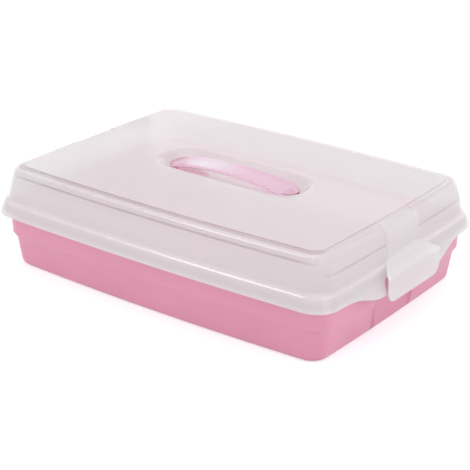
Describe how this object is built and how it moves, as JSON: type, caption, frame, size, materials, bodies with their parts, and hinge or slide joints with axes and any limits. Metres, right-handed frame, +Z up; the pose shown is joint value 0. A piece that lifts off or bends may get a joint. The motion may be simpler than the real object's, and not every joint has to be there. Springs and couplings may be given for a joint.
{
  "type": "cake carrier",
  "caption": "Rectangular cake carrier box: a deep tray under a see-through lift-off lid with hinging latch flaps on its short ends and a low carrying bow on top.",
  "frame": {"origin": "middle of the underside, on the surface that the box stands on", "axes": "+X runs along the box toward the right-hand latch, -Y is the long front side, +Z is up"},
  "size_m": [0.446, 0.3052, 0.1155],
  "materials": {
    "tray_pink": "opaque pastel pink injection-moulded polypropylene, satin",
    "lid_clear": "hazy see-through injection-moulded polypropylene, gloss",
    "handle_pink": "tinted see-through pink plastic, high gloss"
  },
  "bodies": {
    "tray": {"tray": "tray_pink"},
    "lid": {"lid": "lid_clear", "handle": "handle_pink"},
    "latch_right": {"latch_right": "lid_clear"},
    "latch_left": {"latch_left": "lid_clear"}
  },
  "joints": [
    {"name": "lid_lift", "type": "slide", "parent": "tray", "child": "lid", "axis": [0, 0, 1], "range_m": [0, 0.15]},
    {"name": "latch_right_flex", "type": "hinge", "parent": "lid", "child": "latch_right", "pos_m": [0.1919, 0, 0.1125], "axis": [0, -1, 0], "range_deg": [0, 35], "stiffness_Nm_per_rad": 0.4},
    {"name": "latch_left_flex", "type": "hinge", "parent": "lid", "child": "latch_left", "pos_m": [-0.1919, 0, 0.1125], "axis": [0, 1, 0], "range_deg": [0, 35], "stiffness_Nm_per_rad": 0.4}
  ]
}
